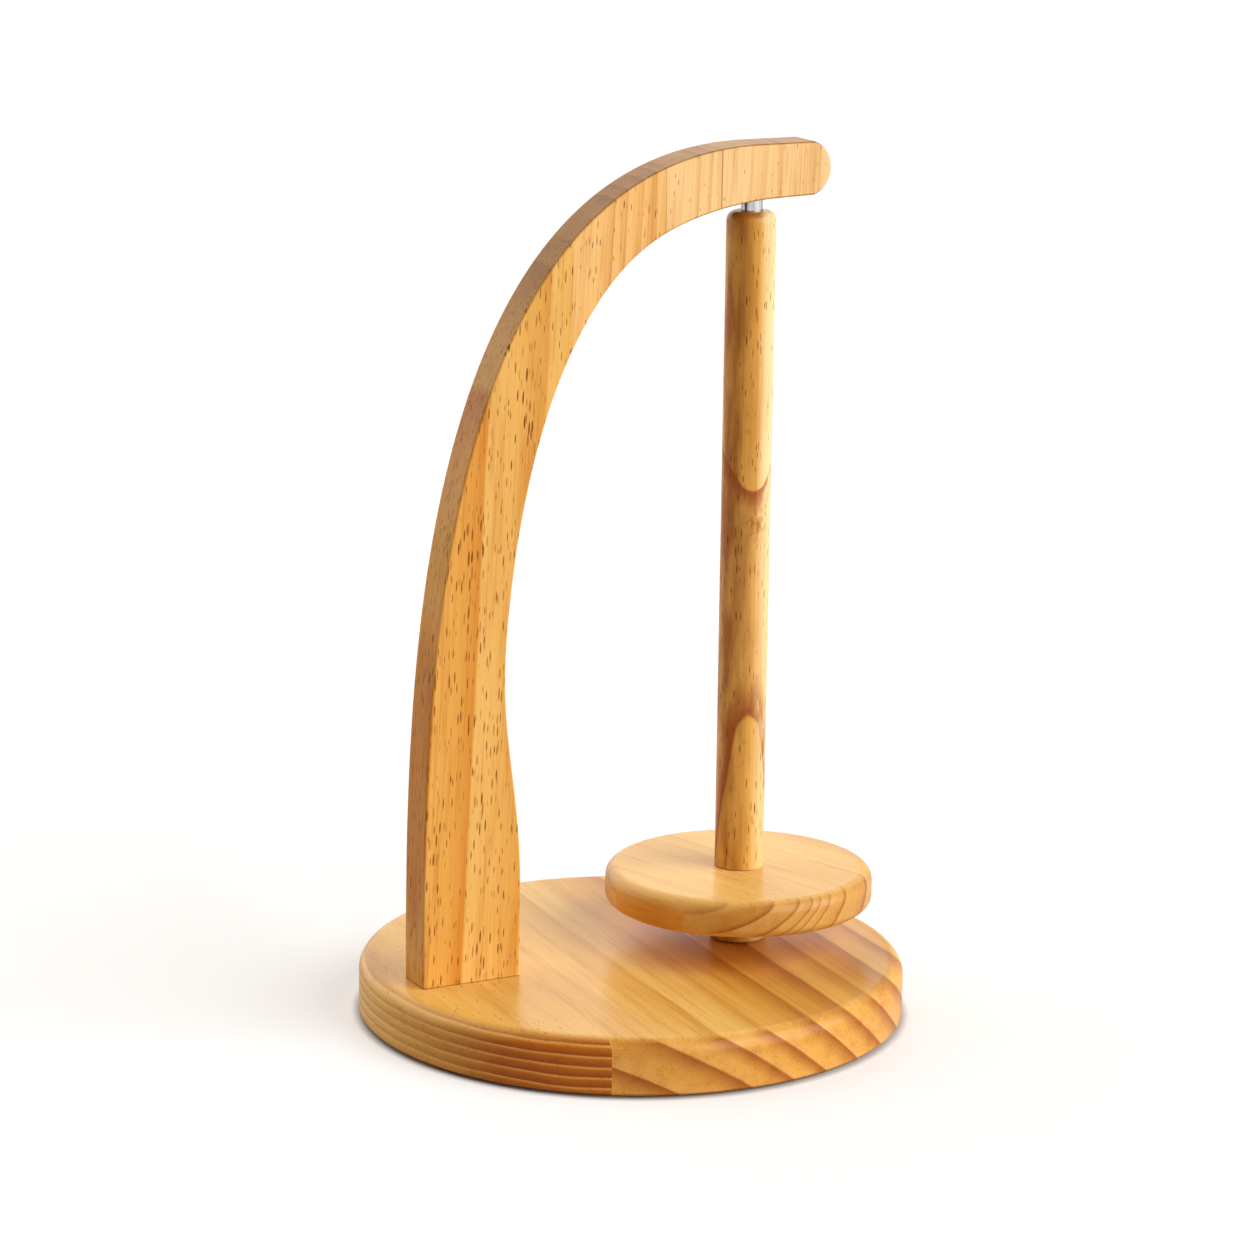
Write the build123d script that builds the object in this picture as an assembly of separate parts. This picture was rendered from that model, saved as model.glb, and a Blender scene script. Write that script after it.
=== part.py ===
from build123d import *
import os

# Free-standing wooden roll holder: a round base, a bent arm and a spindle that turns between them.
# Millimetres. The origin is the centre of the underside, +Z is up, +X runs from arm to spindle.

# Base: a round of edge-glued pine
base_diameter = 200
base_thickness = 20
base_top_round = 5.5
base_bottom_chamfer = 0.8
base_stave_width = 53.2
base_grain_turn = -3

# Foot pads under the base
pad_count = 4
pad_diameter = 18
pad_thickness = 1
pad_inset = 12

# Arm: sawn to a curve from an edge-glued panel
arm_thickness = 16
arm_rise = 296.5
heel_inset = 12.5
foot_width = 38.3
foot_straight = 35
heel_handle = 102
crown_handle = 133
flare_depth = 28.8
flare_station = 0.3
shank_depth = 26.6
shank_station = 0.4
crown_depth = 20
tip_depth = 19.1
tip_overhang = 28
tip_nose = 6.5
arm_edge_ease = 0.8
front_stations = 5
tip_seam_offset = 8.5
pin_stave_width = 25
crown_stave_width = 22
bend_stave_width = 36.5

# Spindle: dowel, roll plate and hub, glued together
spindle_offset = 44.5
dowel_diameter = 18
dowel_top_round = 3.5
disc_diameter = 99
disc_thickness = 13.5
disc_top_round = 4.5
disc_bottom_round = 3.5
disc_stave_width = 3.2
disc_grain_turn = 17
disc_rise = 14.5
hub_diameter = 21
hub_ease = 1
hub_clearance = 0.4
tenon_diameter = 12
tenon_in_hub = 8

# Steel pins and the bushes they run in
lift_travel = 3
lift_spare = 1.5
pin_diameter = 8
pin_in_dowel = 16
pin_in_arm = 9
pin_ease = 0.5
bush_wall = 1.5
bush_recess = 0.8
pivot_diameter = 6
pivot_in_hub = 4.4
pivot_release = 0.5
socket_wall = 2
socket_floor = 3

# Wood screws from below into the foot of the arm
screw_diameter = 4
screw_head_diameter = 8
screw_head_height = 2.4
screw_sink = 1
screw_in_arm = 24
screw_spacing = 20

# Radial gaps: glued or pressed joints, and running fits
glue_gap = 0.05
running_gap = 0.05

# Levels and places that follow from the sizes above
base_bottom = pad_thickness
base_top = base_bottom + base_thickness
arm_top = base_top + arm_rise
arm_underside = arm_top - crown_depth
disc_bottom = base_top + disc_rise
disc_top = disc_bottom + disc_thickness
top_gap = lift_travel + lift_spare
dowel_top = arm_underside - top_gap
hub_bottom = base_top + hub_clearance
tenon_bottom = disc_bottom - tenon_in_hub
pin_bottom = dowel_top - pin_in_dowel
pin_top = arm_underside + pin_in_arm
bush_bottom = arm_underside + bush_recess
bush_top = pin_top + top_gap
pivot_top = hub_bottom + pivot_in_hub
pivot_bottom = base_top - (lift_travel - pivot_release)
socket_bottom = pivot_bottom - socket_floor
screw_head_bottom = base_bottom + screw_sink
screw_top = base_top + screw_in_arm
heel_x = heel_inset - base_diameter / 2
toe_x = heel_x + foot_width
screw_places = [(heel_x + toe_x + side * screw_spacing) / 2 for side in (-1, 1)]
tip_seam = spindle_offset + tip_seam_offset
pin_seam = tip_seam - pin_stave_width
crown_seam = pin_seam - crown_stave_width
bend_seam = crown_seam - bend_stave_width


def round_bar(diameter, bottom, top, x=0, y=0):
    """An upright cylinder between two levels."""
    bar = Cylinder(diameter / 2, top - bottom, align=(Align.CENTER, Align.CENTER, Align.MIN))
    return Pos(x, y, bottom) * bar


def eased(bar, top_round=0, bottom_round=0):
    """A cylinder with its top and bottom rims rounded over."""
    rims = bar.edges().filter_by(GeomType.CIRCLE).sort_by(Axis.Z)
    if top_round:
        bar = fillet(rims[-1], top_round)
    if bottom_round:
        rims = bar.edges().filter_by(GeomType.CIRCLE).sort_by(Axis.Z)
        bar = fillet(rims[0], bottom_round)
    return bar


def glue_plane(centre_x, diameter, stave_width, turn):
    """The upright plane of the glue line that leaves a stave of that width at a round board's edge."""
    across = Vector(1, 0, 0).rotate(Axis.Z, turn)
    return Plane(origin=Vector(centre_x, 0, 0) - across * (diameter / 2 - stave_width), z_dir=across)


def screw_body(grow=0):
    """A countersunk wood screw, or the hole it fills when grown by a gap."""
    head_top = screw_head_bottom + screw_head_height
    radius = screw_diameter / 2 + grow
    head_radius = screw_head_diameter / 2 + grow
    outline = Polyline(
        (0, screw_head_bottom),
        (head_radius, screw_head_bottom),
        (radius, head_top),
        (radius, screw_top - screw_diameter),
        (0, screw_top),
        close=True,
    )
    return revolve(Plane.XZ * make_face(outline), Axis.Z)


def make_base():
    """The base round with its screw holes and socket hole, cut into its two boards."""
    base = eased(round_bar(base_diameter, base_bottom, base_top), base_top_round)
    lower_rim = base.edges().filter_by(GeomType.CIRCLE).sort_by(Axis.Z)[0]
    base = chamfer(lower_rim, base_bottom_chamfer)
    socket_diameter = pivot_diameter + 2 * (running_gap + socket_wall + glue_gap)
    base -= round_bar(socket_diameter, socket_bottom, base_top, spindle_offset)
    for x in screw_places:
        base -= Pos(x, 0, 0) * screw_body(glue_gap)
        base -= round_bar(screw_head_diameter + 2 * glue_gap, base_bottom, screw_head_bottom, x)
    seam = glue_plane(0, base_diameter, base_stave_width, base_grain_turn)
    return {
        "base_board": split(base, seam, keep=Keep.TOP),
        "base_edge_stave": split(base, seam, keep=Keep.BOTTOM),
    }


def make_pads():
    """Thin round pads set in a ring under the base."""
    ring_radius = base_diameter / 2 - pad_inset - pad_diameter / 2
    places = PolarLocations(ring_radius, pad_count, 180 / pad_count)
    pad = round_bar(pad_diameter, 0, pad_thickness)
    return {f"foot_pad_{number}": place * pad for number, place in enumerate(places, 1)}


def arm_outline():
    """The arm's side view: one curve up the back, and a tapering depth set off square to it."""
    heel = Vector(heel_x, base_top)
    crown = Vector(spindle_offset, arm_top)
    back = Bezier(heel, heel + (0, heel_handle), crown - (crown_handle, 0), crown)

    def front_point(station, depth):
        along = back % station
        return back @ station + Vector(along.Y, -along.X) * depth

    def taper_depth(station):
        share = (1 - station) / (1 - shank_station)
        return crown_depth + (shank_depth - crown_depth) * share

    spans = front_stations - 1
    stations = [shank_station + (1 - shank_station) * step / spans for step in range(front_stations)]
    tip_end = spindle_offset + tip_overhang
    tip_upper = Vector(tip_end - tip_nose, arm_top)
    tip_nose_point = Vector(tip_end, arm_top - tip_depth / 2)
    tip_lower = Vector(tip_end - tip_nose, arm_top - tip_depth)
    toe = Vector(toe_x, base_top)
    toe_upper = toe + (0, foot_straight)
    front_points = [toe_upper, front_point(flare_station, flare_depth)]
    front_points += [front_point(station, taper_depth(station)) for station in stations]
    front_points += [tip_lower]
    tip_slope = tip_lower - front_points[-2]
    return make_face(
        [
            back,
            Line(crown, tip_upper),
            ThreePointArc(tip_upper, tip_nose_point, tip_lower),
            Spline(front_points, tangents=[(0, 1), tip_slope]),
            Line(toe_upper, toe),
            Line(toe, heel),
        ]
    )


def make_arm():
    """The arm with eased edges, bush hole and screw holes, sawn apart at its glue lines."""
    arm = extrude(Plane.XZ * arm_outline(), amount=arm_thickness / 2, both=True)
    side_edges = arm.faces().filter_by(Axis.Y).edges()
    free_edges = [edge for edge in side_edges if edge.center().Z > base_top + arm_edge_ease]
    arm = fillet(free_edges, arm_edge_ease)
    bush_hole = pin_diameter + 2 * (running_gap + bush_wall + glue_gap)
    arm -= round_bar(bush_hole, arm_underside - crown_depth / 2, bush_top, spindle_offset)
    for x in screw_places:
        arm -= Pos(x, 0, 0) * screw_body(glue_gap)
    staves = {}
    seams = (bend_seam, crown_seam, pin_seam, tip_seam)
    for number, seam in enumerate(seams, 1):
        plane = Plane(origin=(seam, 0, 0), z_dir=(1, 0, 0))
        staves[f"arm_stave_{number}"] = split(arm, plane, keep=Keep.BOTTOM)
        arm = split(arm, plane, keep=Keep.TOP)
    staves[f"arm_stave_{len(seams) + 1}"] = arm
    return staves


def make_screws():
    """The two wood screws that hold the arm."""
    screw = screw_body()
    return {f"arm_screw_{number}": Pos(x, 0, 0) * screw for number, x in enumerate(screw_places, 1)}


def make_bushes():
    """The sleeve in the arm's tip and the cup in the base."""
    sleeve_bore = pin_diameter + 2 * running_gap
    sleeve = round_bar(sleeve_bore + 2 * bush_wall, bush_bottom, bush_top, spindle_offset)
    sleeve -= round_bar(sleeve_bore, bush_bottom, bush_top, spindle_offset)
    cup_bore = pivot_diameter + 2 * running_gap
    cup = round_bar(cup_bore + 2 * socket_wall, socket_bottom, base_top, spindle_offset)
    cup -= round_bar(cup_bore, pivot_bottom, base_top, spindle_offset)
    return {"top_bush": sleeve, "base_socket": cup}


def make_pins():
    """The sliding pin at the top and the pivot pressed into the hub."""
    pin = eased(round_bar(pin_diameter, pin_bottom, pin_top, spindle_offset), pin_ease, pin_ease)
    pivot = eased(round_bar(pivot_diameter, pivot_bottom, pivot_top, spindle_offset), 0, pin_ease)
    return {"top_pin": pin, "pivot_pin": pivot}


def make_spindle():
    """The dowel with its tenon, the roll plate in two boards, and the turned hub below it."""
    dowel = eased(round_bar(dowel_diameter, disc_top, dowel_top, spindle_offset), dowel_top_round)
    dowel += round_bar(tenon_diameter, tenon_bottom, disc_top, spindle_offset)
    dowel -= round_bar(pin_diameter + 2 * running_gap, pin_bottom, dowel_top, spindle_offset)
    tenon_hole = tenon_diameter + 2 * glue_gap
    disc = round_bar(disc_diameter, disc_bottom, disc_top, spindle_offset)
    disc = eased(disc, disc_top_round, disc_bottom_round)
    disc -= round_bar(tenon_hole, disc_bottom, disc_top, spindle_offset)
    seam = glue_plane(spindle_offset, disc_diameter, disc_stave_width, disc_grain_turn)
    hub = eased(round_bar(hub_diameter, hub_bottom, disc_bottom, spindle_offset), 0, hub_ease)
    hub -= round_bar(tenon_hole, tenon_bottom, disc_bottom, spindle_offset)
    hub -= round_bar(pivot_diameter + 2 * glue_gap, hub_bottom, pivot_top, spindle_offset)
    return {
        "spindle_dowel": dowel,
        "disc_board": split(disc, seam, keep=Keep.TOP),
        "disc_edge_stave": split(disc, seam, keep=Keep.BOTTOM),
        "spindle_hub": hub,
    }


os.makedirs("parts", exist_ok=True)
for make_group in (make_base, make_pads, make_arm, make_screws, make_bushes, make_pins, make_spindle):
    for name, piece in make_group().items():
        export_step(piece, f"parts/{name}.step")
        print(name, round(piece.volume / 1000, 2), "cm3")
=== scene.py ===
# %% [markdown]
# # A pine roll holder
# The holder is turned and sawn from edge-glued pine and finished with clear lacquer. Its boards,
# pins and screws come from the CAD model as fixed solids, in metres, with the origin under the
# middle of the base, +Z up and +X from the arm towards the spindle. This lesson gives each solid
# its finish. Wood is the subject: every stave was a different piece of a different tree, so each
# one gets its own grain, laid out from where its pith was in the log.

# %% Load the CAD frame
import math

import bpy
from mathutils import Matrix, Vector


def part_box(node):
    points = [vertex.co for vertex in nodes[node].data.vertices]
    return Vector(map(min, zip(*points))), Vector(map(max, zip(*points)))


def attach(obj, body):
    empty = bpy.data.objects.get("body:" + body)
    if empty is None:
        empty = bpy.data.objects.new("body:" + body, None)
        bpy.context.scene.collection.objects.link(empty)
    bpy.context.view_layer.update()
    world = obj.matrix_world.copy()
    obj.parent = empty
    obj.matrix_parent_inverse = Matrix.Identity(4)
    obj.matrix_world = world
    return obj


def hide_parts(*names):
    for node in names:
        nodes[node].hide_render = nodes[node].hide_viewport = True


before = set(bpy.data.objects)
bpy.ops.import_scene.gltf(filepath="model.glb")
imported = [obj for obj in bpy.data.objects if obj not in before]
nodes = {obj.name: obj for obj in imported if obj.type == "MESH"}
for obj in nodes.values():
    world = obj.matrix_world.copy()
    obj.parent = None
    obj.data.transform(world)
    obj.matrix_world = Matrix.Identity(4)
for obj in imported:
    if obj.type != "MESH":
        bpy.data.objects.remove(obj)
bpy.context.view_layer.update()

# %% [markdown]
# ## Two helpers
# Colours are easiest to read as the hex values of a picture, but shaders work with linear light, so
# one function turns the first into the second. A second one adds a node: it sets the node's
# properties, then links or sets its sockets, in order or by name. A ramp or a curve also takes its
# stops there. It hands back the node's first output, which is what the next node wants.

# %% Colour and node helpers
MM = 0.001


def linear(code):
    """The linear RGBA of an sRGB hex colour."""
    parts = [int(code[i:i + 2], 16) / 255 for i in (1, 3, 5)]
    return [c / 12.92 if c <= 0.04045 else ((c + 0.055) / 1.055) ** 2.4 for c in parts] + [1]


def add(tree, kind, sockets=(), stops=(), **settings):
    """Adds a node with its settings, links or sets its sockets, and returns its first output."""
    node = tree.nodes.new(kind)
    for key, value in settings.items():
        setattr(node, key, value)
    free = [socket for socket in node.inputs if socket.enabled]
    if isinstance(sockets, dict):
        pairs = [(next(s for s in free if s.name == key), value) for key, value in sockets.items()]
    else:
        pairs = zip(free, sockets)
    for socket, value in pairs:
        if isinstance(value, bpy.types.NodeSocket):
            tree.links.new(value, socket)
        else:
            socket.default_value = value
    if kind == "ShaderNodeValToRGB":
        ramp = node.color_ramp.elements
        while len(ramp) < len(stops):
            ramp.new(1)
        for element, (position, code) in zip(ramp, stops):
            element.position = position
            element.color = linear(code)
    elif kind == "ShaderNodeFloatCurve":
        points = node.mapping.curves[0].points
        while len(points) < len(stops):
            points.new(1, 1)
        for point, place in zip(points, stops):
            point.location = place
        node.mapping.update()
    return next(socket for socket in node.outputs if socket.enabled)


def start(name):
    """A new node material: its tree and its Principled shader."""
    material = bpy.data.materials.new(name)
    material.use_nodes = True
    tree = material.node_tree
    return material, tree, tree.nodes["Principled BSDF"]


print("linear mid grey:", [round(c, 3) for c in linear("#808080")])

# %% [markdown]
# ## Grain space
# A board keeps the geometry of its log: year rings are cylinders round the pith, and every fibre and
# resin canal runs along it. So the wood is drawn in a space of its own for each board, in
# millimetres, with the pith as its Z axis. A Mapping node of type TEXTURE does that, because it
# undoes a location, a turn and a scale. The distance from that axis is then the ring depth. A slow
# noise moves it a little, as no tree grows as a perfect cylinder.

# %% Grain space and ring depth
def grain_space(tree, pith, turns):
    """Object coordinates in mm, with the pith of the log as Z axis."""
    place = add(tree, "ShaderNodeTexCoord").node.outputs["Object"]
    return add(
        tree,
        "ShaderNodeMapping",
        {
            "Vector": place,
            "Location": [c * MM for c in pith],
            "Rotation": [math.radians(angle) for angle in turns],
            "Scale": (MM, MM, MM),
        },
        vector_type="TEXTURE",
    )


def noise(tree, grain, width, length, detail=2):
    """A soft random value, with patches of that width and length in mm."""
    cell = (1 / width, 1 / width, 1 / length)
    spot = add(tree, "ShaderNodeVectorMath", (grain, cell), operation="MULTIPLY")
    return add(tree, "ShaderNodeTexNoise", {"Vector": spot, "Scale": 1, "Detail": detail})


def ring_depth(tree, grain, drift):
    """The distance from the pith in mm, drifting by about that many mm along the board."""
    across = add(tree, "ShaderNodeVectorMath", (grain, (1, 1, 0)), operation="MULTIPLY")
    depth = add(tree, "ShaderNodeVectorMath", (across,), operation="LENGTH")
    sway = noise(tree, grain, 30, 90)
    depth = add(tree, "ShaderNodeMath", (sway, 2 * drift, depth), operation="MULTIPLY_ADD")
    return add(tree, "ShaderNodeMath", (depth, drift), operation="SUBTRACT")


print("grain space is in mm, so a 1 mm ring is 1 unit")

# %% [markdown]
# ## Year rings
# In one year pine first grows wide, pale earlywood, then dense orange latewood, and stops. Outwards
# from the pith each ring therefore darkens slowly and ends in a sharp edge. A colour ramp over the
# ring depth draws just that, with three stops a ring: pale, in between, dark. The tones come as one
# such set for each ring, and the last set holds for the rest. Where the saw cut across the fibres,
# the end grain drank the finish, so those faces get a second, deeper ramp, mixed in by how squarely
# the surface faces along the grain.

# %% Year rings
def year_rings(tree, depth, ends, tones, late_share, edge):
    """The colour at a ring depth, for rings that end at those depths in mm."""
    low, span = ends[0], ends[-1] - ends[0]
    stops = []
    for number, (inner, outer) in enumerate(zip(ends, ends[1:])):
        early, middle, late = tones[min(number, len(tones) - 1)]
        stops.append(((inner + edge / 2 - low) / span, early))
        stops.append(((outer - late_share * (outer - inner) - low) / span, middle))
        stops.append(((outer - edge / 2 - low) / span, late))
    share = add(tree, "ShaderNodeMapRange", {"Value": depth, "From Min": low, "From Max": ends[-1]})
    return add(tree, "ShaderNodeValToRGB", (share,), stops)


def sawn(tree, depth, ends, along, face, cross, late_share=0.5, edge=0.5):
    """Rings on the long faces of a board, and deeper ones where it is cut across the grain."""
    flat = year_rings(tree, depth, ends, face, late_share, edge)
    end = year_rings(tree, depth, ends, cross, late_share, edge)
    normal = add(tree, "ShaderNodeTexCoord").node.outputs["Normal"]
    facing = add(tree, "ShaderNodeVectorMath", (normal, along), operation="DOT_PRODUCT")
    facing = add(tree, "ShaderNodeMath", (facing, facing), operation="MULTIPLY")
    facing = add(tree, "ShaderNodeMapRange", {"Value": facing, "From Max": 0.4})
    return add(tree, "ShaderNodeMix", {"Factor": facing, "A": flat, "B": end}, data_type="RGBA")


print("three stops a ring, so a ramp holds ten rings")

# %% [markdown]
# ## Fibres, resin canals and lacquer
# Close up, pine shows fine streaks along the grain and short dark dashes, the resin canals, which
# turn to dots where the wood is cut across. Over it lies a clear satin lacquer, smooth where the
# wood below is not: the Principled shader's coat, with its own roughness, while the bump stays on
# the wood. A glue line is a thin dark seam at one place along an axis. The same dark line also
# serves as painted shade, where one part stands on another and the joint lies in shadow.

# %% Fibres, canals and lacquer
def glue_and_shade_line(tree, wood, axis, place, width, strength=0.7):
    """Darkens the wood within half that width of a place along an axis: glue seams and painted shade.
    """
    # One dark tone for glue seams and for the painted shade in joints.
    glue_and_shade_tone = linear("#7A4A20")
    seam = add(tree, "ShaderNodeMath", (axis, place), operation="SUBTRACT")
    seam = add(tree, "ShaderNodeMath", (seam,), operation="ABSOLUTE")
    seam = add(
        tree,
        "ShaderNodeMapRange",
        {"Value": seam, "From Min": width / 2, "From Max": width / 4, "To Max": strength},
    )
    return add(tree, "ShaderNodeMix", {"Factor": seam, "A": wood, "B": glue_and_shade_tone}, data_type="RGBA")


def lacquered(tree, shader, grain, wood, canals=0.24, streak=0.6, figure=120, gloss=0.34, satin=0.24):
    """Adds streaks, bands with that length of figure in mm, resin canals and the lacquer over them."""
    fibre = noise(tree, grain, 0.8, 30, 4)
    band = noise(tree, grain, 6, figure, 3)
    mixed = add(tree, "ShaderNodeMath", (fibre, band), operation="ADD")
    mixed = add(tree, "ShaderNodeMath", (mixed, 0.5), operation="MULTIPLY")
    tint = add(
        tree,
        "ShaderNodeValToRGB",
        (mixed,),
        [(0.32, "#DDBE95"), (0.5, "#FAF3E8"), (0.62, "#FFFFFF")],
    )
    wood = add(
        tree,
        "ShaderNodeMix",
        {"Factor": streak, "A": wood, "B": tint},
        data_type="RGBA",
        blend_type="MULTIPLY",
    )
    # The cells of the canals, in mm. With canals at 0.24 a dash is about 0.5 mm wide and 4 mm long,
    # coarser than real resin canals, so that it shows.
    canal_gap, canal_pitch = 1.05, 8
    cell = (1 / canal_gap, 1 / canal_gap, 1 / canal_pitch)
    spot = add(tree, "ShaderNodeVectorMath", (grain, cell), operation="MULTIPLY")
    canal = add(tree, "ShaderNodeTexVoronoi", {"Vector": spot, "Scale": 1})
    cluster = noise(tree, grain, 10, 30)
    reach = add(tree, "ShaderNodeMath", (cluster, 2 * canals), operation="MULTIPLY")
    dash = add(tree, "ShaderNodeMath", (canal, reach), operation="DIVIDE")
    dash = add(tree, "ShaderNodeMapRange", {"Value": dash, "From Min": 1, "From Max": 0.75})
    depth = add(tree, "ShaderNodeSeparateColor", (canal.node.outputs["Color"],))
    depth = add(tree, "ShaderNodeMapRange", {"Value": depth, "To Min": 0.3, "To Max": 1})
    dash = add(tree, "ShaderNodeMath", (dash, depth), operation="MULTIPLY")
    wood = add(
        tree,
        "ShaderNodeMix",
        {"Factor": dash, "A": wood, "B": linear("#763600")},
        data_type="RGBA",
    )
    height = add(tree, "ShaderNodeMath", (dash, -1, fibre), operation="MULTIPLY_ADD")
    bump = add(tree, "ShaderNodeBump", {"Strength": 0.15, "Distance": 0.2 * MM, "Height": height})
    rough = add(tree, "ShaderNodeMapRange", {"Value": fibre, "To Min": 0.45, "To Max": 0.6})
    tree.links.new(wood, shader.inputs["Base Color"])
    tree.links.new(rough, shader.inputs["Roughness"])
    tree.links.new(bump, shader.inputs["Normal"])
    shader.inputs["IOR"].default_value = 1.45
    shader.inputs["Specular IOR Level"].default_value = 0.04
    shader.inputs["Coat Weight"].default_value = gloss
    shader.inputs["Coat Roughness"].default_value = satin
    shader.inputs["Coat IOR"].default_value = 1.5


def lying(turn):
    """The turns of a board whose grain lies level, and the way that the grain runs."""
    angle = math.radians(turn)
    return (90, 0, turn), (-math.sin(angle), math.cos(angle), 0)


def upright(lean):
    """The turns of a board whose grain stands up and leans to +X, and the way that it runs."""
    angle = math.radians(lean)
    return (0, lean, 0), (math.sin(angle), 0, math.cos(angle))


print("lacquer: satin coat")

# %% [markdown]
# ## The base
# Two boards make the base. The wide one was sawn beside the pith, so its rings cross the top as
# bold bands and run down the rim as slanting arcs. The narrow stave on the arm's side was sawn far
# from the pith, which lay above it, so its rings lie flat: a pale top and a rim of thin layers.

# %% Base board and edge stave
base_pine, tree, shader = start("Lacquered pine, wide base board")
base_turn = -3
turns, along = lying(base_turn)
pith = (-114.5, 0, -164.4)
grain = grain_space(tree, pith, turns)
depth = ring_depth(tree, grain, 0.8)
ends = (176, 188.5, 202.4, 212.7, 222.1, 233.3, 243.7, 253.8, 264.1, 274.4, 285)
face = [
    ("#ECBD5E", "#EAB959", "#E4B152"),
    ("#ECBD5E", "#EAB959", "#E4B152"),
    ("#ECBE60", "#E9B859", "#E0AA4C"),
    ("#F2C86E", "#EFC266", "#DEA44C"),
    ("#EBB658", "#E0A648", "#C07C2E"),
    ("#E4AC4E", "#DA9C40", "#B87028"),
    ("#EEBC60", "#E8B254", "#C88838"),
    ("#E6B052", "#DB9F45", "#BA7834"),
    ("#ECBC62", "#E4AE54", "#C08036"),
]
cross = [("#E8B05C", "#E0A44C", "#A65A18")]
wood = sawn(tree, depth, ends, along, face, cross, edge=0.4)
lacquered(tree, shader, grain, wood, canals=0.1, streak=0.8)
nodes["base_board"].material_slots[0].material = base_pine

stave_pine, tree, shader = start("Lacquered pine, base edge stave")
pith = (-60, 0, 600)
grain = grain_space(tree, pith, turns)
depth = ring_depth(tree, grain, 1.0)
first_ring, ring_width, ring_count = 577.5, 3.8, 6
ends = tuple(first_ring + ring_width * step for step in range(ring_count + 1))
face = [("#F9D07E", "#F3C569", "#D89E4A")]
cross = [("#EDAE54", "#C47018", "#A04C08")]
wood = sawn(tree, depth, ends, along, face, cross, late_share=0.72)
lacquered(tree, shader, grain, wood, canals=0.15, gloss=0.3)
nodes["base_edge_stave"].material_slots[0].material = stave_pine
print("base:", base_pine.name, "and", stave_pine.name)

# %% [markdown]
# ## The roll plate
# The plate is a small round of the same wood, with its grain turned a little against the base's.
# Its rings are thin dark lines. The sliver at its edge is another stave, pale above and orange below.

# %% Roll plate
plate_turn = 17
turns, along = lying(plate_turn)
dowel_low, dowel_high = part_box("spindle_dowel")
spindle_x = (dowel_low[0] + dowel_high[0]) / 2 / MM


def plate_pith(back, height):
    """The place of a pith that far back across the grain from the spindle, at that height, in mm."""
    angle = math.radians(plate_turn)
    across = spindle_x * math.cos(angle) - back
    return across * math.cos(angle), across * math.sin(angle), height


disc_pine, tree, shader = start("Lacquered pine, roll plate")
grain = grain_space(tree, plate_pith(back=68, height=97), turns)
depth = ring_depth(tree, grain, 0.4)
ends = (44, 58.1, 66, 72.4, 76.4, 79.1, 82.8, 89.9, 104.5, 118)
face = [("#F0C272", "#EEBF6E", "#E7B565")]
cross = [("#CC9442", "#C48A3A", "#9C5C1C")] * 2 + [("#D6A458", "#CE984A", "#A2621E")]
wood = sawn(tree, depth, ends, along, face, cross, late_share=0.22, edge=0.4)
lacquered(tree, shader, grain, wood, canals=0.12)
nodes["disc_board"].material_slots[0].material = disc_pine

sliver_pine, tree, shader = start("Lacquered pine, plate edge stave")
grain = grain_space(tree, plate_pith(back=48, height=600), turns)
depth = ring_depth(tree, grain, 0.4)
ends = (546, 558, 570)
face = [("#EEC070", "#ECBB68", "#E0A044"), ("#DE9E42", "#DC9A3C", "#D28E34")]
wood = sawn(tree, depth, ends, along, face, face, late_share=0.45)
lacquered(tree, shader, grain, wood, canals=0.1)
nodes["disc_edge_stave"].material_slots[0].material = sliver_pine
print("roll plate:", disc_pine.name, "and", sliver_pine.name)

# %% [markdown]
# ## The arm
# The arm was band-sawn from a panel of five staves with upright grain. The first one, which makes
# the whole shank, is full of resin canals and shows one broad two-tone step. The others are paler,
# with thin streaks a few millimetres apart.

# %% Arm rings and tones
arm_rings = {
    "arm_stave_1": (20, 32, 44, 60, 82, 104, 126),
    "arm_stave_2": (99, 105, 110, 116, 121, 126.5, 131, 137, 142),
    "arm_stave_3": (134, 138, 143, 149, 154, 160, 166),
    "arm_stave_4": (156, 165, 171, 178, 186, 192),
    "arm_stave_5": (180, 187, 195, 200, 212),
}
arm_tones = {
    "arm_stave_1": [("#E3AE5B", "#DFA54F", "#D08C36")] * 3 + [("#E6B86A", "#E2B05F", "#D69C48")],
    "arm_stave_2": [("#ECC07E", "#E8B874", "#DCA65E")],
    "arm_stave_3": [("#EFCA92", "#EDC48A", "#E3B474")],
    "arm_stave_4": [("#F0CB94", "#EEC88E", "#E6BA7C")],
    "arm_stave_5": [("#F0CC96", "#EFCA92", "#E8C084")],
}
arm_cross = [("#AE7E3A", "#A67632", "#98682A")]
arm_canals = {"arm_stave_1": 0.28, "arm_stave_2": 0.19}
arm_edges = {"arm_stave_1": 1.2}
print("rings:", {name: len(ends) - 1 for name, ends in arm_rings.items()})
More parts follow.
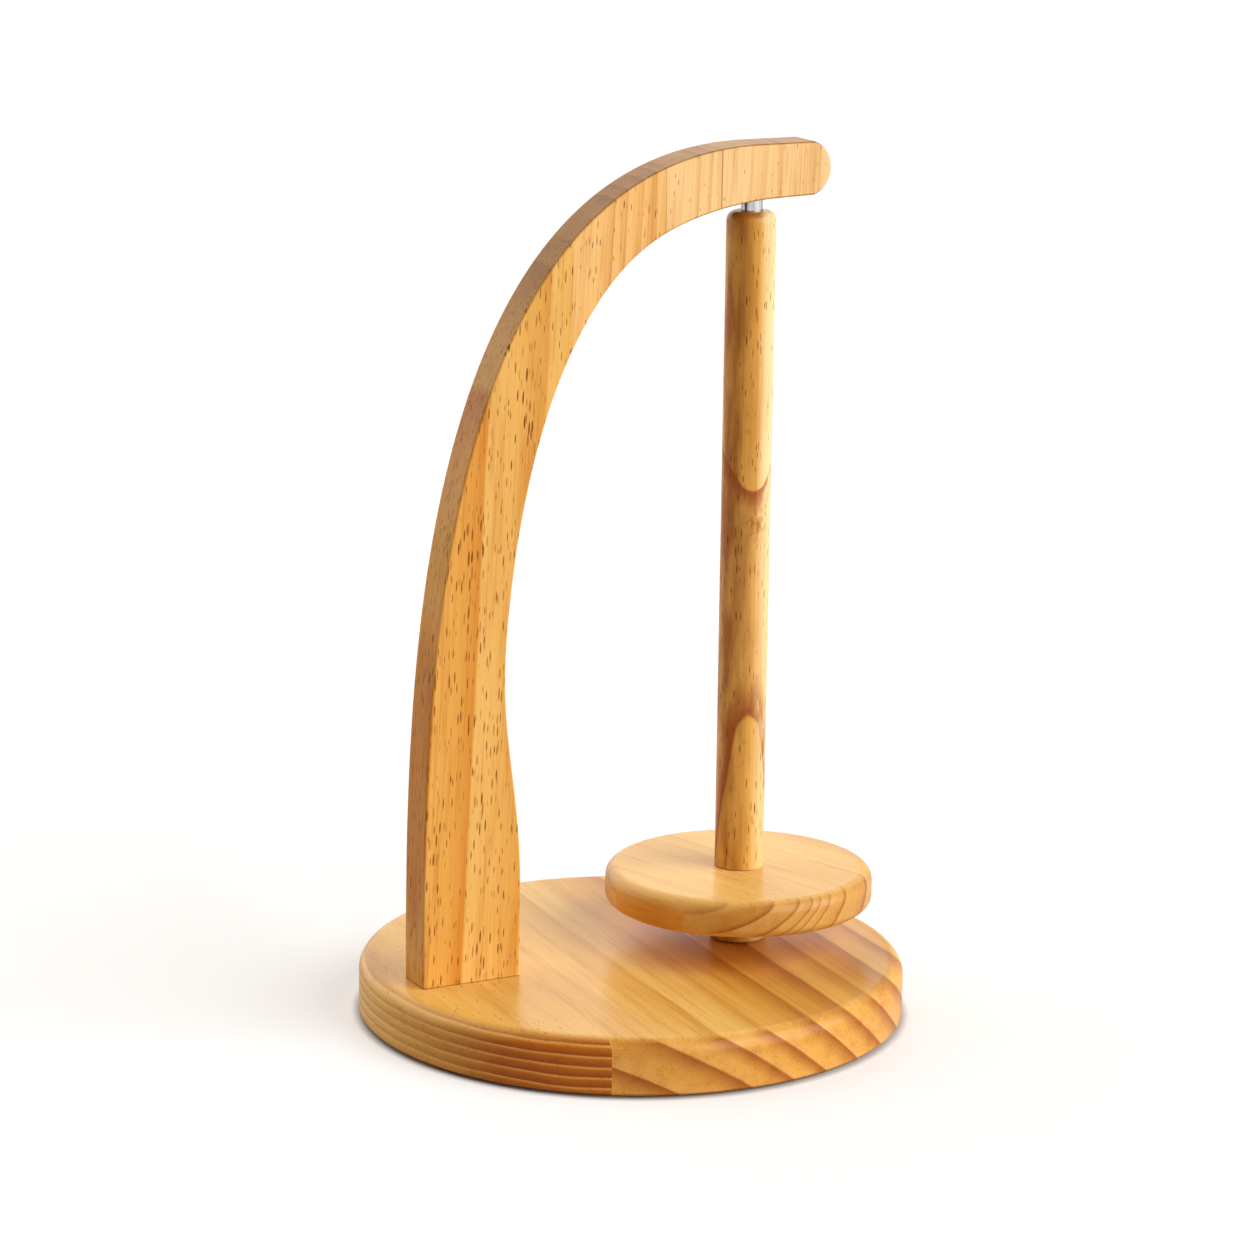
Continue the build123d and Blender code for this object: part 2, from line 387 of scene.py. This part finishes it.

# %% [markdown]
# Where two staves meet, a dark glue line shows. Where the arm stands on the base, a dark line is
# painted as the shade in that joint. Their places are read from the boxes of the solids. To keep it
# simple, one pith serves all five staves, and each has its own rings round it. The grain leans a
# little.

# %% Arm staves
base_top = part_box("base_board")[1][2]
crown_seam, pin_seam = (corner[0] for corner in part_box("arm_stave_3"))
arm_glue = {
    "arm_stave_2": (crown_seam, 0.35),
    "arm_stave_3": (pin_seam, 0.6),
    "arm_stave_4": (pin_seam, 0.6),
}
arm_pith = (-132, 0, 24)
arm_lean = 2.7
turns, along = upright(arm_lean)
for name, ends in arm_rings.items():
    pine, tree, shader = start("Lacquered pine, " + name.replace("_", " "))
    grain = grain_space(tree, arm_pith, turns)
    depth = ring_depth(tree, grain, 0.6)
    wood = sawn(tree, depth, ends, along, arm_tones[name], arm_cross, edge=arm_edges.get(name, 0.5))
    place = add(tree, "ShaderNodeTexCoord").node.outputs["Object"]
    place = add(tree, "ShaderNodeSeparateXYZ", (place,)).node
    # Painted shade: a dark line where the arm stands on the base.
    wood = glue_and_shade_line(tree, wood, place.outputs["Z"], base_top, 1.0 * MM)
    if name in arm_glue:
        seam, strength = arm_glue[name]
        wood = glue_and_shade_line(tree, wood, place.outputs["X"], seam, 0.7 * MM, strength)
    canals = arm_canals.get(name, 0.12)
    lacquered(tree, shader, grain, wood, canals, streak=0.85, figure=60, gloss=0.22)
    nodes[name].material_slots[0].material = pine
print("arm:", len(arm_rings), "staves")

# %% [markdown]
# ## The dowel and its hub
# A branch once left the log near the middle of the dowel, so the rings bulge round it and meet the
# turned surface twice as round arches. They are nearly flat sheets here, so the depth is the way
# across the dowel plus a curve that says how far the rings bulge at each height.

# %% Dowel rings
dowel_pine, tree, shader = start("Lacquered pine, turned dowel")
dowel_turn = 258
grain = grain_space(tree, (spindle_x, 0, 0), (0, 0, dowel_turn))
axes = add(tree, "ShaderNodeSeparateXYZ", (grain,)).node
# Heights and bulges in mm. The curve runs from 0 to 1, so each is divided by a full scale.
curve_height, curve_rise = 300, 25
bulge = (
    (0, 20), (50, 15), (76, 10.8), (85, 9.2), (100, 7.4), (104, 7), (108, 6), (117, 3.5), (125, 2),
    (150, 1), (183, 2), (188, 4), (192, 6), (194, 7), (197, 8.2), (201, 10.3), (204, 13), (208, 16),
    (215, 18), (300, 20),
)
height_share = add(tree, "ShaderNodeMath", (axes.outputs["Z"], curve_height), operation="DIVIDE")
curve = add(
    tree,
    "ShaderNodeFloatCurve",
    {"Value": height_share},
    [(z / curve_height, rise / curve_rise) for z, rise in bulge],
)
depth = add(tree, "ShaderNodeMath", (curve, curve_rise, axes.outputs["X"]), operation="MULTIPLY_ADD")
sway = noise(tree, grain, 8, 30)
depth = add(tree, "ShaderNodeMath", (sway, depth), operation="ADD")
arch = 15.5
ends = (-30, -12, arch, 34, 50)
face = [("#EABF74", "#E5B564", "#964A10")] * 2 + [("#E2AF57", "#DCA54C", "#984A0E")]
cross = [("#B27838", "#A86E30", "#8E5622")]
wood = sawn(tree, depth, ends, (0, 0, 1), face, cross, late_share=0.17)
plate_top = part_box("disc_board")[1][2] / MM
# Painted shade: a dark ring where the dowel meets the plate.
wood = glue_and_shade_line(tree, wood, axes.outputs["Z"], plate_top, 1.0)
print("dowel: arches where the ring depth is", arch, "mm")

# %% [markdown]
# Stains lie over the rings, and a painted sheen. One side of the dowel is painted pale, as the
# sheen of the lamp on it, palest towards the top, and the other is smeared with brown. Brown clouds
# lie just inside the arches, and the branch shows as a small stain. Each is a share from 0 to 1,
# which mixes its own tone into the wood.

# %% Dowel stains, painted sheen and finish
up, side = axes.outputs["Z"], axes.outputs["Y"]
# Painted sheen: the lit side of the dowel turns pale, most near the top.
sheen_by_height = {"Value": up, "From Min": 100, "From Max": 220, "To Min": 0.5, "To Max": 0.85}
sheen_by_height = add(tree, "ShaderNodeMapRange", sheen_by_height)
painted_sheen = {"Value": side, "From Min": 0.8, "From Max": 4.2, "To Max": sheen_by_height}
painted_sheen = add(tree, "ShaderNodeMapRange", painted_sheen)
flank = add(tree, "ShaderNodeMapRange", {"Value": side, "From Min": 2.5, "From Max": -6})
smear = {"Value": noise(tree, grain, 5, 26, 4), "From Min": 0.36, "From Max": 0.62, "To Max": 0.8}
smear = add(tree, "ShaderNodeMapRange", smear)
smear = add(tree, "ShaderNodeMath", (smear, flank), operation="MULTIPLY")
cloud = {"Value": depth, "From Min": 9.5, "From Max": 15, "To Max": 0.8}
cloud = add(tree, "ShaderNodeMapRange", cloud)
inside = add(tree, "ShaderNodeMath", (depth, arch), operation="LESS_THAN")
cloud = add(tree, "ShaderNodeMath", (cloud, inside), operation="MULTIPLY")
wisp = noise(tree, grain, 3.5, 9, 4)
wisp = add(tree, "ShaderNodeMapRange", {"Value": wisp, "From Min": 0.4, "From Max": 0.6})
cloud = add(tree, "ShaderNodeMath", (cloud, wisp), operation="MULTIPLY")
branch = (0, 0.9, 180)
eye = add(tree, "ShaderNodeVectorMath", (grain, branch), operation="SUBTRACT")
eye = add(tree, "ShaderNodeVectorMath", (eye, (0, 1, 0.7)), operation="MULTIPLY")
eye = add(tree, "ShaderNodeVectorMath", (eye,), operation="LENGTH")
eye = add(tree, "ShaderNodeMapRange", {"Value": eye, "From Min": 6, "From Max": 1.5, "To Max": 0.8})
stain = noise(tree, grain, 1.6, 2.6, 4)
stain = add(tree, "ShaderNodeMapRange", {"Value": stain, "From Min": 0.42, "From Max": 0.62})
eye = add(tree, "ShaderNodeMath", (eye, stain), operation="MULTIPLY")
# The first share is the painted sheen; the others are stains in the wood.
stains_and_sheen = ((painted_sheen, "#F8E0AE"), (smear, "#A05A12"), (cloud, "#A8591A"), (eye, "#A2601E"))
for share, tone in stains_and_sheen:
    wood = add(tree, "ShaderNodeMix", {"Factor": share, "A": wood, "B": linear(tone)}, data_type="RGBA")
lacquered(tree, shader, grain, wood, gloss=0.4, satin=0.3)
for name in ("spindle_dowel", "spindle_hub"):
    nodes[name].material_slots[0].material = dowel_pine
print("dowel and hub:", dowel_pine.name, "with", len(stains_and_sheen), "stains_and_sheen")

# %% [markdown]
# ## Metal and felt
# The pins were drawn through a die, which leaves fine lines along them. The brass sleeve and cup were
# turned, which leaves fine lines round them. The screws have a spangled zinc plating with a yellow
# tint, and the pads are punched from felt, a mat of short fibres. All of it is noise in millimetres,
# stretched along the lines, which moves the colour and the roughness and raises a slight bump. The
# lines of a die are too fine to show, so on the steel they are drawn as bands 1.5 mm wide. Their
# tones run from dark grey to near white, which paints the dark and bright reflections of a pin.

# %% Metal and felt
def worked(name, patch, detail, tones, rough, relief, metallic=1):
    """A finish with marks of that size in mm: its two tones, roughnesses and relief in mm."""
    material, tree, shader = start(name)
    place = add(tree, "ShaderNodeTexCoord").node.outputs["Object"]
    spot = [1 / (size * MM) for size in patch]
    spot = add(tree, "ShaderNodeVectorMath", (place, spot), operation="MULTIPLY")
    marks = add(tree, "ShaderNodeTexNoise", {"Vector": spot, "Scale": 1, "Detail": detail})
    colour = add(tree, "ShaderNodeValToRGB", (marks,), [(0.3, tones[0]), (0.7, tones[1])])
    polish = add(tree, "ShaderNodeMapRange", {"Value": marks, "To Min": rough[0], "To Max": rough[1]})
    bump = add(tree, "ShaderNodeBump", {"Strength": 0.4, "Distance": relief * MM, "Height": marks})
    tree.links.new(colour, shader.inputs["Base Color"])
    tree.links.new(polish, shader.inputs["Roughness"])
    tree.links.new(bump, shader.inputs["Normal"])
    shader.inputs["Metallic"].default_value = metallic
    return material


# Painted reflection: the steel's dark grey and near-white tones stand in for what the pins mirror.
steel = worked("Bright drawn steel", (1.5, 1.5, 30), 2, ("#606266", "#E2E3E4"), (0.12, 0.25), 0.004)
brass = worked("Turned brass", (6, 6, 0.2), 3, ("#A9803A", "#D2AC62"), (0.2, 0.4), 0.005)
zinc = worked("Zinc-plated steel", (1.2, 1.2, 1.2), 5, ("#A59B7C", "#D0C6A6"), (0.22, 0.45), 0.01)
felt = worked("Brown felt", (0.35, 0.35, 0.35), 6, ("#3E2A1B", "#7C5A3E"), (0.9, 1), 0.3, metallic=0)
nap = felt.node_tree.nodes["Principled BSDF"].inputs
nap["Sheen Weight"].default_value = 0.5
nap["Sheen Roughness"].default_value = 0.6
finishes = {
    steel: ("top_pin", "pivot_pin"),
    brass: ("top_bush", "base_socket"),
    zinc: ("arm_screw_1", "arm_screw_2"),
    felt: ("foot_pad_1", "foot_pad_2", "foot_pad_3", "foot_pad_4"),
}
for finish, names in finishes.items():
    for name in names:
        nodes[name].material_slots[0].material = finish
    print(finish.name, "on", ", ".join(names))

# %% [markdown]
# ## Wood screws
# Two countersunk screws hold the arm from below. The CAD model has each as a plain cone and pin, so a
# screw with a thread, a point and a cross recess stands in for it. It is drawn out of the flat land
# of its head: the upper face is extruded and scaled again and again, up the cone, along the smooth
# neck and in and out for each turn of the thread. Rings do for the helix at this size.

# %% Screw body
def pick_top(piece):
    """Picks the upward faces of the active piece and leaves it in edit mode."""
    bpy.ops.object.mode_set(mode="EDIT")
    bpy.ops.mesh.select_mode(type="FACE")
    bpy.ops.mesh.select_all(action="DESELECT")
    bpy.ops.object.mode_set(mode="OBJECT")
    for face in piece.data.polygons:
        face.select = face.normal.z > 0.9
    bpy.ops.object.mode_set(mode="EDIT")


low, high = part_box("arm_screw_1")
screw_x = (low[0] + high[0]) / 2
head_radius = (high[0] - low[0]) / 2
head_land = 0.4 * MM
bpy.ops.object.select_all(action="DESELECT")
bpy.ops.mesh.primitive_cylinder_add(
    vertices=48,
    radius=head_radius,
    depth=head_land,
    location=(screw_x, 0, low[2] + head_land / 2),
)
screw = bpy.context.object
screw.name = "wood_screw_1"
bpy.ops.object.transform_apply(location=True, rotation=True, scale=True)
pick_top(screw)

# Each step is a rise and a new radius, in mm.
cone, neck, first_root, last_root = (2.0, 2.0), (8.6, 2.0), (0.4, 1.35), (0.8, 1.35)
thread_turn = [(0.4, 1.95), (0.2, 1.95), (0.5, 1.35), (0.7, 1.35)]
turn_count, point_radius = 15, 0.12
steps = [cone, neck, first_root] + thread_turn * turn_count + [last_root]
point_rise = (high[2] - low[2] - head_land) / MM - sum(rise for rise, radius in steps)
radius_now, level = head_radius / MM, low[2] + head_land
for rise, radius in steps + [(point_rise, point_radius)]:
    level += rise * MM
    share = radius / radius_now
    bpy.ops.mesh.extrude_region_move(TRANSFORM_OT_translate={"value": (0, 0, rise * MM)})
    bpy.ops.transform.resize(value=(share, share, 1), center_override=(screw_x, 0, level))
    radius_now = radius
bpy.ops.object.mode_set(mode="OBJECT")
print(screw.name, "faces:", len(screw.data.polygons), "point rise in mm:", round(point_rise, 2))

# %% [markdown]
# The cross recess is cut by two wedges, one after the other. Each starts as a cube whose inner face
# is scaled down, because the flanks of a driver's tip taper. The finished screw is then copied to the
# second place and turned a little, since no two screws stop at the same angle.

# %% Cross recess and second screw
recess_length, recess_width, recess_depth = 4.6 * MM, 0.9 * MM, 1.7 * MM
for angle in (10, 100):
    bpy.ops.object.select_all(action="DESELECT")
    bpy.ops.mesh.primitive_cube_add(size=1, location=(0, 0, 0))
    wedge = bpy.context.object
    wedge.scale = (recess_length, recess_width, 2 * recess_depth)
    bpy.ops.object.transform_apply(location=False, rotation=False, scale=True)
    pick_top(wedge)
    bpy.ops.transform.resize(value=(0.4, 0.6, 1), center_override=(0, 0, recess_depth))
    bpy.ops.object.mode_set(mode="OBJECT")
    wedge.rotation_euler.z = math.radians(angle)
    wedge.location = (screw_x, 0, low[2])
    bpy.ops.object.select_all(action="DESELECT")
    screw.select_set(True)
    bpy.context.view_layer.objects.active = screw
    cut = screw.modifiers.new("cross recess", "BOOLEAN")
    cut.operation = "DIFFERENCE"
    cut.solver = "EXACT"
    cut.object = wedge
    bpy.ops.object.modifier_apply(modifier=cut.name)
    bpy.data.objects.remove(wedge)
bpy.ops.object.shade_smooth_by_angle(angle=math.radians(35))
screw.data.materials.append(zinc)

second_low, second_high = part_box("arm_screw_2")
second_x = (second_low[0] + second_high[0]) / 2
bpy.ops.object.duplicate()
second_screw = bpy.context.object
second_screw.name = "wood_screw_2"
bpy.ops.transform.translate(value=(second_x - screw_x, 0, 0))
bpy.ops.object.transform_apply(location=True, rotation=True, scale=True)
bpy.ops.object.mode_set(mode="EDIT")
bpy.ops.mesh.select_all(action="SELECT")
bpy.ops.transform.rotate(value=math.radians(37), orient_axis="Z", center_override=(second_x, 0, 0))
bpy.ops.object.mode_set(mode="OBJECT")
for number, piece in enumerate((screw, second_screw), 1):
    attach(piece, "stand")
    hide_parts(f"arm_screw_{number}")
    print(piece.name, "faces:", len(piece.data.polygons))

# %% [markdown]
# ## Camera
# The camera stands 1.5 m away at the photograph's angle, a little above the middle, with a long lens.

# %% Camera
camera = bpy.data.objects.new("camera", bpy.data.cameras.new("camera"))
bpy.context.scene.collection.objects.link(camera)
camera.data.sensor_width = 36
camera.data.lens = 120.57
camera_place = (-0.6796, -1.3089, 0.50005)
heading, pitch, roll = (math.radians(angle) for angle in (27.32, 13.575, 0.75))
camera.matrix_world = (
    Matrix.Translation(camera_place)
    @ Matrix.Rotation(-heading, 4, "Z")
    @ Matrix.Rotation(math.pi / 2 - pitch, 4, "X")
    @ Matrix.Rotation(roll, 4, "Z")
)
bpy.context.scene.camera = camera
print("camera at", [round(c, 3) for c in camera.location])

# %% [markdown]
# ## Floor
# The holder stands on a white sweep. Rays from the camera, and from shiny surfaces, see the floor a
# little brighter than it is, so that it is plain white and yet keeps the object's shadow. Under the
# base the extra light fades out.

# %% Floor
def seen_rays(tree):
    """1 for rays from the camera, off shiny surfaces and through clear ones, otherwise 0."""
    rays = add(tree, "ShaderNodeLightPath").node
    seen = 0
    for kind in ("Is Camera Ray", "Is Glossy Ray", "Is Transmission Ray"):
        seen = add(tree, "ShaderNodeMath", (rays.outputs[kind], seen), operation="MAXIMUM")
    return seen


bpy.ops.mesh.primitive_plane_add(size=12, location=(0, 0, 0))
floor = bpy.context.object
floor.name = "floor"
paper, tree, shader = start("White paper sweep")
tree.nodes.remove(shader)
place = add(tree, "ShaderNodeTexCoord").node.outputs["Object"]
away = add(tree, "ShaderNodeVectorMath", (place,), operation="LENGTH")
under_rim, past_rim, full_glow = 0.0995, 0.103, 0.48
lift = add(
    tree,
    "ShaderNodeMapRange",
    {"Value": away, "From Min": under_rim, "From Max": past_rim, "To Max": full_glow},
)
glow = add(tree, "ShaderNodeEmission", (linear("#FFFFFF"), lift))
sheet = add(tree, "ShaderNodeBsdfDiffuse", (linear("#C8C8C8"),))
lit = add(tree, "ShaderNodeAddShader", (sheet, glow))
dull = add(tree, "ShaderNodeBsdfDiffuse", (linear("#C2B4A0"),))
result = add(tree, "ShaderNodeMixShader", (seen_rays(tree), dull, lit))
tree.links.new(result, tree.nodes["Material Output"].inputs["Surface"])
floor.data.materials.append(paper)
print("floor:", paper.name)

# %% [markdown]
# ## Light
# The room itself is dim and warm, and only the same rays see it white. A broad lamp on the right makes
# the shading, and a pale one behind the holder lights the side of the arm and lies as a sheen on the
# tops.

# %% Room and lamps
world = bpy.data.worlds.new("Dim room, white to the camera")
bpy.context.scene.world = world
world.use_nodes = True
tree = world.node_tree
room = add(
    tree,
    "ShaderNodeMix",
    {"Factor": seen_rays(tree), "A": linear("#5A4834"), "B": linear("#FFFFFF")},
    data_type="RGBA",
)
tree.links.new(room, tree.nodes["Background"].inputs["Color"])

# Azimuth, height and breadth in degrees, strength and colour.
lamps = {
    "right lamp": (308, 26, 66, 4.0, "#FFFFFF"),
    "back lamp": (110, 21, 100, 2.8, "#FFFCF7"),
}
for name, (azimuth, height, breadth, strength, tone) in lamps.items():
    lamp = bpy.data.objects.new(name, bpy.data.lights.new(name, "SUN"))
    bpy.context.scene.collection.objects.link(lamp)
    lamp.data.energy = strength
    lamp.data.color = linear(tone)[:3]
    lamp.data.angle = math.radians(breadth)
    swing = Matrix.Rotation(math.radians(azimuth + 90), 4, "Z")
    lamp.matrix_world = swing @ Matrix.Rotation(math.radians(90 - height), 4, "X")
bpy.context.scene.view_settings.view_transform = "Standard"
print("lamps:", list(lamps))
